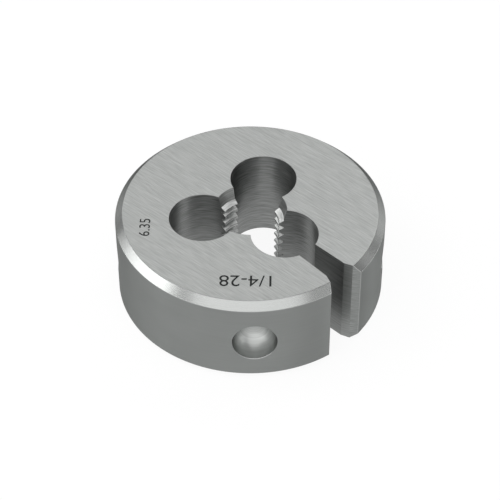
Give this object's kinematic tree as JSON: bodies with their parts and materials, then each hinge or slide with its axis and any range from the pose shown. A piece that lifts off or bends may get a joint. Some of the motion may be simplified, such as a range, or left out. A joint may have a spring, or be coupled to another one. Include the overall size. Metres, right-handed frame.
{
  "type": "round threading die",
  "caption": "Round split threading die: a thick bevelled steel ring with a threaded bore, chip holes round it, a slit to the rim and round screw seats in the rim.",
  "frame": {"origin": "centre of the base face, on the axis of the thread", "axes": "+Z along the axis of the thread, out of the top face, from which a thread is started; the slit runs out between +X and -Y, at 45 degrees to both"},
  "size_m": [0.0254, 0.0254, 0.0095],
  "materials": {
    "tool_steel": "hardened tool steel: flat faces with straight grinding lines, turned bevels, plain ground rim, drilled and milled walls inside"
  },
  "bodies": {
    "root": {"threading_die": "tool_steel"}
  },
  "joints": []
}
